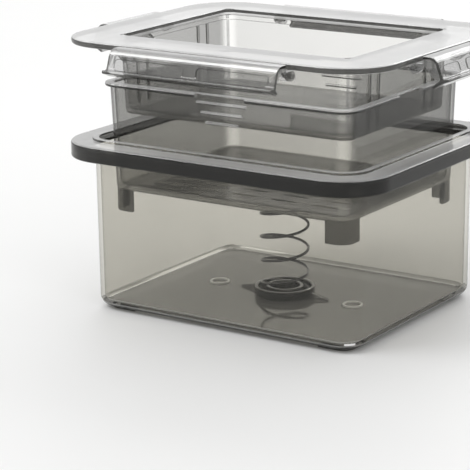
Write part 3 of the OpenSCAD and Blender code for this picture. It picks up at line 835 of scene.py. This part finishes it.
def lid_frame():
    """The flat frame with the tray's window and the lugs that the latches hang on."""
    outer = Wall(LID_W, LID_D, LID_R)
    grow = 2 * (TRAY_LEAN - TRAY_WALL)
    window = Wall(TRAY_W + grow, TRAY_D + grow, TRAY_R - TRAY_WALL)
    top, low = LID_HIGH.z, LID_Z
    outside = filleted([(-LID_EDGE, low, 0), (0, low, 1.0), (0, top, 1.2), (-LID_EDGE, top, 0)],
                       closed=False)
    inside = filleted([(WINDOW_EDGE, top, 0), (0, top, 0.4), (0, top - DARK_BAND_H, 0),
                       (0, low, 0), (WINDOW_EDGE, low, 0)], closed=False)
    rings = [outer.ring(p.x, p.y) for p in outside] + [window.ring(p.x, p.y) for p in inside]
    piece = new_piece("lid_frame", lofted(rings, closed=True))

    round_r = BOSS_R * BOSS_ROUND
    stem = filleted([(-BOSS_R, PIVOT_DROP + LUG_ROOT, 0), (-BOSS_R, -BOSS_R, round_r),
                     (BOSS_R, -BOSS_R, round_r), (BOSS_R, PIVOT_DROP + LUG_ROOT, 0)])
    lugs, bores = [], []
    for side in SIDES:
        near = SIDES[side].length / 2 - CHEEK_T - SIDE_GAP - LUG_T
        for x in (-near - LUG_T, near):
            place = on_side(side) @ Matrix.Translation((x, 0, 0))
            lugs.append(placed(extruded(stem, LUG_T), place))
            bores.append(bore(LUG_T, place))
    combined(piece, merged(lugs), "UNION")
    combined(piece, merged(bores), "DIFFERENCE")
    finished(piece, "lid", "lid_frame", lid_and_sheen_plastic)
    painted(piece, tray_plastic, lambda c, n: is_inside(window, c, NEAR))
    # Painted shade: a dark band round the window and a dark rim round the lid's outer edge
    painted(piece, painted_shade_plastic, lambda c, n: is_inside(window, c, NEAR)
            and top - DARK_BAND_H < c.z < top - SEAM)
    painted(piece, painted_shade_plastic, lambda c, n: low + NEAR < c.z < top - DARK_RIM_SET
            and abs(n.z) < FACING and not is_inside(outer, c, -DARK_RIM_IN)
            and not is_inside(window, c, NEAR))


def is_inside(wall, centre, out):
    """Whether a face is inside a wall's rectangle, moved out."""
    return abs(centre.x) < wall.width / 2 + out and abs(centre.y) < wall.depth / 2 + out


def press_tray():
    """The deep tray that presses the tofu, with a band at its top and ribs on its sides."""
    wall = Wall(TRAY_W, TRAY_D, TRAY_R, TRAY_Z, LID_Z, TRAY_LEAN)
    floor_z = TRAY_Z + TRAY_FLOOR
    top = LID_Z - SEAM
    profile = filleted([
        (-TRAY_EDGE, TRAY_Z, 0),
        (0, TRAY_Z, 2.2),
        (wall.lean_at(top - BAND_H), top - BAND_H, 0.3),
        (TRAY_LEAN + BAND_OUT, top - BAND_H, 0.4),
        (TRAY_LEAN + BAND_OUT, top, 0),
        (TRAY_LEAN - TRAY_WALL, top, 0),
        (wall.lean_at(floor_z) - TRAY_WALL, floor_z, 2),
        (-TRAY_EDGE, floor_z, 0),
    ], closed=False)
    piece = new_piece("press_tray", lofted([wall.ring(p.x, p.y) for p in profile]))
    combined(piece, merged(guide_ribs(wall)), "UNION")
    finished(piece, "lid", "press_tray", tray_plastic)
    painted(piece, floor_plastic, lambda c, n: c.z < floor_z + NEAR)
    painted(piece, leg_plastic, lambda c, n: c.z < top - BAND_H
            and abs(c.x) > wall.width / 2 + wall.lean_at(c.z) + RIB_OUT / 3)
    # Painted shade: a dark line down the middle of each outer corner
    painted(piece, latch_plastic, lambda c, n: is_corner_line(wall, c, n))


def is_corner_line(wall, centre, normal):
    """Whether a face is the narrow strip down the middle of an outer corner of the tray, painted as
    a dark line of shade.
    """
    diagonal = abs(normal.z) < 0.1 and abs(abs(normal.x) - abs(normal.y)) < 0.08
    outward = normal.x * centre.x > 0 and normal.y * centre.y > 0
    return diagonal and outward and abs(centre.x) > wall.width / 2 - CORNER_LINE_IN


def guide_ribs(wall):
    """Pairs of upright ribs on the tray's side walls, parallel to them."""
    foot = wall.width / 2
    low, high = TRAY_Z + RIB_FOOT, LID_Z - BAND_H + ROOT
    low_x, high_x = foot + wall.lean_at(low), foot + wall.lean_at(high)
    flat = filleted([(low_x - BAR_ROOT, low, 0), (low_x + RIB_OUT, low, 0.4),
                     (high_x + RIB_OUT, high, 0), (high_x - BAR_ROOT, high, 0)])
    plate = extruded(flat, RIB_W, 0.35)
    centre = Matrix.Translation((-RIB_W / 2, 0, 0))
    ribs = []
    for side, end in CORNERS:
        turn = Matrix.Rotation(math.radians(-90 * side), 4, "Z")
        for pair in (-1, 1):
            shift = Matrix.Translation((0, end * RIB_Y + pair * RIB_GAP / 2, 0))
            ribs.append(placed(plate, shift @ turn @ centre))
    return ribs


# ---------------------------------------------------------------- latches

def opened(u, v):
    """A point of the closed latch, turned back to where it stands open."""
    return turned(Vector((u, v)), LATCH_SWING)


def closed_height(point):
    """Height above the pivot that a point of the open latch has once it is closed."""
    return point.y * math.cos(LATCH_SWING) - point.x * math.sin(LATCH_SWING)


FACE_DOWN = Vector((math.sin(FACE_LEAN), -math.cos(FACE_LEAN)))
FACE_OUT = Vector((math.cos(FACE_LEAN), math.sin(FACE_LEAN)))
CLOSED_LEAN = LATCH_SWING - FACE_LEAN
TOP_START = Vector((PIVOT_IN + EDGE_GAP, PIVOT_DROP + LID_T - TOP_SINK))
BEND_Z = TOP_START.y - LATCH_R
FACE_INSIDE = FACE_OUT.dot(opened(EDGE_Y + SHELL_GAP, -HOOK_DROP))
BEND_X = (FACE_INSIDE - LATCH_R + LATCH_T - BEND_Z * math.sin(FACE_LEAN)) / math.cos(FACE_LEAN)
BEND_CENTRE = Vector((BEND_X, BEND_Z))
FACE_START = BEND_CENTRE + LATCH_R * FACE_OUT
FACE_REACH = closed_height(FACE_START) + HOOK_DROP + HOOK_T + FACE_BELOW
LATCH_FACE = FACE_REACH / math.cos(CLOSED_LEAN)
FACE_END = FACE_START + LATCH_FACE * FACE_DOWN


def bend_corner(radius):
    """Where the flat top and the face would meet, at that distance from the bend's centre."""
    meet = radius * math.tan((math.pi / 2 - FACE_LEAN) / 2)
    return BEND_CENTRE + Vector((meet, radius))


def latch_section(edge):
    """The latch's outline: flat top, bend, face, finger lip and hook."""
    outer, inner = bend_corner(LATCH_R), bend_corner(LATCH_R - LATCH_T)
    lip_top = FACE_END - LATCH_T * FACE_DOWN
    tip = lip_top + FINGER_OUT * FACE_OUT
    tip_low = FACE_END + FINGER_OUT * FACE_OUT
    hook_tip = edge - HOOK_IN
    hook_low = opened(hook_tip + HOOK_T / 4, -HOOK_DROP - HOOK_T)
    hook_top = opened(hook_tip, -HOOK_DROP)
    foot = FACE_END - LATCH_T * FACE_OUT
    root = foot + (HOOK_DROP + closed_height(foot)) / math.cos(CLOSED_LEAN) * FACE_DOWN
    corners = [
        (*TOP_START, 0.5),
        (*(TOP_START - Vector((0, LATCH_T))), 0.5),
        (*inner, LATCH_R - LATCH_T),
        (*root, 0.7),
        (*hook_top, 0.4),
        (*hook_low, 0.4),
        (*FACE_END, 0.3),
        (*tip_low, 0.6),
        (*tip, 0.6),
        (*lip_top, 1.8),
        (*outer, LATCH_R),
    ]
    return filleted(corners)


def cheek_section(edge):
    """An end cheek's outline: a boss round the pin and an arm that clears the flange."""
    outer = bend_corner(LATCH_R)
    arm = edge + CHEEK_GAP
    boss = BOSS_R * BOSS_ROUND
    corners = [
        (-BOSS_R, BOSS_R, boss),
        (-BOSS_R, -BOSS_R, boss),
        (*opened(0, -BOSS_R), 0.2),
        (*opened(arm, -BOSS_R - SIDE_GAP), 1.0),
        (*opened(arm, -HOOK_DROP), 0.3),
        (*(FACE_END + Vector(CHEEK_SET)), 0.3),
        (*outer, LATCH_R),
        (*TOP_START, 0.6),
        (TOP_START.x, BOSS_R, 0.3),
    ]
    return filleted(corners)


def latch(side):
    """The latch on one side: shell with hook and finger lip, end cheeks, bore and panels."""
    length, edge = SIDES[side].length, SIDES[side].edge
    name = "latch_" + side
    start = Matrix.Translation((-length / 2, 0, 0))
    piece = new_piece(name, placed(extruded(latch_section(edge), length, 0.35), start))
    cheek = extruded(cheek_section(edge), CHEEK_T)
    cheeks = [placed(cheek, Matrix.Translation((x, 0, 0)))
              for x in (-length / 2 + END_SKIN, length / 2 - CHEEK_T - END_SKIN)]
    combined(piece, merged(cheeks), "UNION")
    cutters = [bore(length, start)] + [sunk_panel(length, end) for end in (-1, 1)]
    combined(piece, merged(cutters), "DIFFERENCE")
    finished(piece, name, name, latch_plastic)
    # Painted highlight: the latch's flat top and its bend are drawn bright
    painted(piece, lid_and_sheen_plastic, lambda c, n: n.z > FACING and c.z > BEND_CENTRE.y)
    painted(piece, gleam_plastic, lambda c, n: BRIGHT_BEND < n.z < FACING and c.z > BEND_CENTRE.y)
    painted(piece, shell_plastic, lambda c, n: in_section(n).dot(FACE_OUT) < -TILT
            and abs(n.x) < 0.5)
    # Painted shade: the shell's end faces and the finger lip's underside are drawn dark as outlines
    painted(piece, painted_shade_plastic, lambda c, n: abs(c.x) > (length - END_SKIN) / 2
            or is_lip_underside(c, n))
    # Painted shade on the panels' lower recess edges and a painted highlight on their upper ones
    painted(piece, painted_shade_plastic, lambda c, n: is_panel_edge(c, n) and n.z < 0.5)
    painted(piece, painted_highlight_plastic, lambda c, n: is_panel_edge(c, n) and n.z > 0.5)
    piece.data.transform(Matrix.Scale(MM, 4) @ on_side(side) @ Matrix.Scale(1 / MM, 4))


def in_section(vector):
    """The outward and upward parts of a vector, as a latch's section is drawn."""
    return Vector((vector.y, vector.z))


def is_lip_underside(centre, normal):
    """Whether a face is on the low side of the finger lip."""
    outward = FACE_OUT.dot(in_section(centre) - FACE_END)
    downward = in_section(normal).dot(FACE_DOWN)
    return outward > -LATCH_T and downward > TILT and centre.z < FACE_END.y + LATCH_T


def is_panel_edge(centre, normal):
    """Whether a face belongs to the low edges of the panels sunk into the latch's face."""
    depth = FACE_OUT.dot(in_section(centre) - FACE_START)
    slanted = abs(FACE_OUT.dot(in_section(normal))) < FACING
    sideways = abs(normal.x) + abs(normal.z) > 0.1
    above_lip = centre.z > FACE_END.y + LATCH_T
    return -PANEL_SINK * 0.95 < depth < -SEAM and slanted and sideways and above_lip


def sunk_panel(length, end):
    """Cutter for a long panel with round ends, sunk into one half of the face."""
    panel_l = length / 2 - PANEL_BAR / 2 - 2 * CHEEK_T
    middle = FACE_START + (LATCH_FACE - LATCH_T) / 2 * FACE_DOWN
    half_l, half_h = panel_l / 2, PANEL_H / 2
    flat = filleted([(-half_l, -half_h, PANEL_R), (half_l, -half_h, PANEL_R),
                     (half_l, half_h, PANEL_R), (-half_l, half_h, PANEL_R)])
    rings = []
    for depth, grow in ((-PANEL_SINK, -0.3), (-PANEL_SINK * 0.6, 0.0), (CUT, 0.25)):
        ring = []
        for p in flat:
            x = end * (PANEL_BAR + panel_l) / 2 + p.x + math.copysign(grow, p.x)
            down = -p.y - math.copysign(grow, p.y)
            ring.append((x, *(middle + depth * FACE_OUT + down * FACE_DOWN)))
        rings.append(ring)
    return lofted(rings)


def pin(name, side, end):
    """Hinge pin with a low domed head outside the cheek."""
    length = SIDES[side].length
    reach = CHEEK_T + SIDE_GAP + LUG_T
    r, head = PIN_D / 2, PIN_HEAD_D / 2
    section = filleted([(AXIS, -PIN_HEAD_T, 0), (head, -PIN_HEAD_T, 0.35), (head, 0, 0.1),
                        (r, 0, 0.1), (r, reach, 0.4), (AXIS, reach, 0)])
    turn = Matrix.Rotation(math.radians(-90 * end), 4, "Y")
    place = on_side(side) @ Matrix.Translation((end * (length / 2 + SIDE_GAP), 0, 0)) @ turn
    piece = new_piece("hinge_" + name, placed(turned_round(section, PIN_STEPS), place))
    finished(piece, "lid", name, leg_plastic)
    local = on_side(side).inverted()
    painted(piece, shell_plastic, lambda c, n: abs((local @ c).x) > length / 2 - CHEEK_T / 2)


# Each pin: the side of its latch, and its end: 1 is the right one, seen from the middle
PINS = {
    "pin_front_left": ("front", 1), "pin_front_right": ("front", -1),
    "pin_back_left": ("back", -1), "pin_back_right": ("back", 1),
    "pin_left_front": ("left", -1), "pin_left_back": ("left", 1),
    "pin_right_front": ("right", 1), "pin_right_back": ("right", -1),
}


# ---------------------------------------------------------------- studio

CAMERA_PLACE = Vector((0.52141, -0.82029, 0.29542))
CAMERA_AZIMUTH = math.radians(33.85)
CAMERA_ELEVATION = math.radians(15.11)
CAMERA_ROLL = math.radians(-0.64)
FOCUS_PIXELS = 2092.17          # focal length, for an image 470 pixels wide
IMAGE_PIXELS = 470
SENSOR = 36.0


def camera():
    """The camera that the photograph was solved for."""
    az, el, roll = CAMERA_AZIMUTH, CAMERA_ELEVATION, CAMERA_ROLL
    back = Vector((math.sin(az) * math.cos(el), -math.cos(az) * math.cos(el), math.sin(el)))
    right = Vector((math.cos(az), math.sin(az), 0))
    up = back.cross(right)
    across = right * math.cos(roll) + up * math.sin(roll)
    upward = up * math.cos(roll) - right * math.sin(roll)
    data = bpy.data.cameras.new("camera")
    data.sensor_width = SENSOR
    data.lens = SENSOR * FOCUS_PIXELS / IMAGE_PIXELS
    data.clip_start, data.clip_end = 0.05, 50
    obj = bpy.data.objects.new("camera", data)
    bpy.context.scene.collection.objects.link(obj)
    turn = Matrix((across, upward, back)).transposed().to_4x4()
    obj.matrix_world = Matrix.Translation(CAMERA_PLACE) @ turn
    bpy.context.scene.camera = obj


def lamp(name, place, target, size, power):
    """A flat lamp, pointed at the target. Sizes are in metres and power in watts."""
    data = bpy.data.lights.new(name, "AREA")
    data.shape = "RECTANGLE"
    data.size, data.size_y = size
    data.energy = power
    obj = bpy.data.objects.new(name, data)
    obj.location = place
    obj.rotation_euler = (Vector(target) - Vector(place)).to_track_quat("-Z", "Y").to_euler()
    bpy.context.scene.collection.objects.link(obj)


def studio_world():
    """Plain soft light from all round, white to the camera and in reflections."""
    world = bpy.data.worlds.new("studio")
    bpy.context.scene.world = world
    nodes = Nodes(world)
    path = nodes.add("ShaderNodeLightPath")
    seen = nodes.maths("MAXIMUM", path.outputs["Is Camera Ray"], path.outputs["Is Glossy Ray"])
    seen = nodes.maths("MAXIMUM", seen, path.outputs["Is Transmission Ray"])
    soft = nodes.add("ShaderNodeBackground", Strength=0.67)
    white = nodes.add("ShaderNodeBackground", Strength=1.0)
    white.inputs["Color"].default_value = (1, 1, 1, 1)
    soft.inputs["Color"].default_value = (1, 1, 1, 1)
    mix = nodes.add("ShaderNodeMixShader")
    nodes.link(seen, mix.inputs[0])
    nodes.link(soft.outputs[0], mix.inputs[1])
    nodes.link(white.outputs[0], mix.inputs[2])
    output = nodes.add("ShaderNodeOutputWorld")
    nodes.link(mix.outputs[0], output.inputs["Surface"])


def table_top():
    """The wide pale table, a stage piece that is not part of the press."""
    size = 12.0
    mesh = bpy.data.meshes.new("table_top")
    corners = [(-size, -size, 0), (size, -size, 0), (size, size, 0), (-size, size, 0)]
    mesh.from_pydata(corners, [], [(0, 1, 2, 3)])
    floor = bpy.data.objects.new("table_top", mesh)
    bpy.context.scene.collection.objects.link(floor)
    material = bpy.data.materials.new("pale_table")
    nodes = Nodes(material)
    surface = nodes.add("ShaderNodeBsdfPrincipled", Roughness=0.55)
    grain = nodes.noise(TABLE_GRAIN, 4)
    shade = nodes.colours(grain, (0.875, 0.875, 0.87), (0.905, 0.905, 0.9))
    nodes.link(shade, surface.inputs["Base Color"])
    output = nodes.add("ShaderNodeOutputMaterial")
    nodes.link(surface.outputs[0], output.inputs["Surface"])
    mesh.materials.append(material)


camera()
studio_world()
table_top()
lamp("key", (-0.9, -0.9, 1.5), (0, 0, 0.05), (1.0, 1.0), 13)
lamp("fill", (1.4, -0.7, 0.9), (0, 0, 0.05), (0.8, 0.8), 4)
lamp("rim", (-0.3, 1.5, 1.1), (0, 0, 0.08), (1.6, 0.5), 8)
bpy.context.scene.view_settings.view_transform = "Standard"
bpy.context.scene.cycles.transparent_max_bounces = 64
bpy.context.scene.cycles.max_bounces = 16

container()
spring_seat()
spring()
basket()
press_tray()
lid_frame()
for side_name in SIDES:
    latch(side_name)
for pin_name, (side_name, pin_end) in PINS.items():
    pin(pin_name, side_name, pin_end)
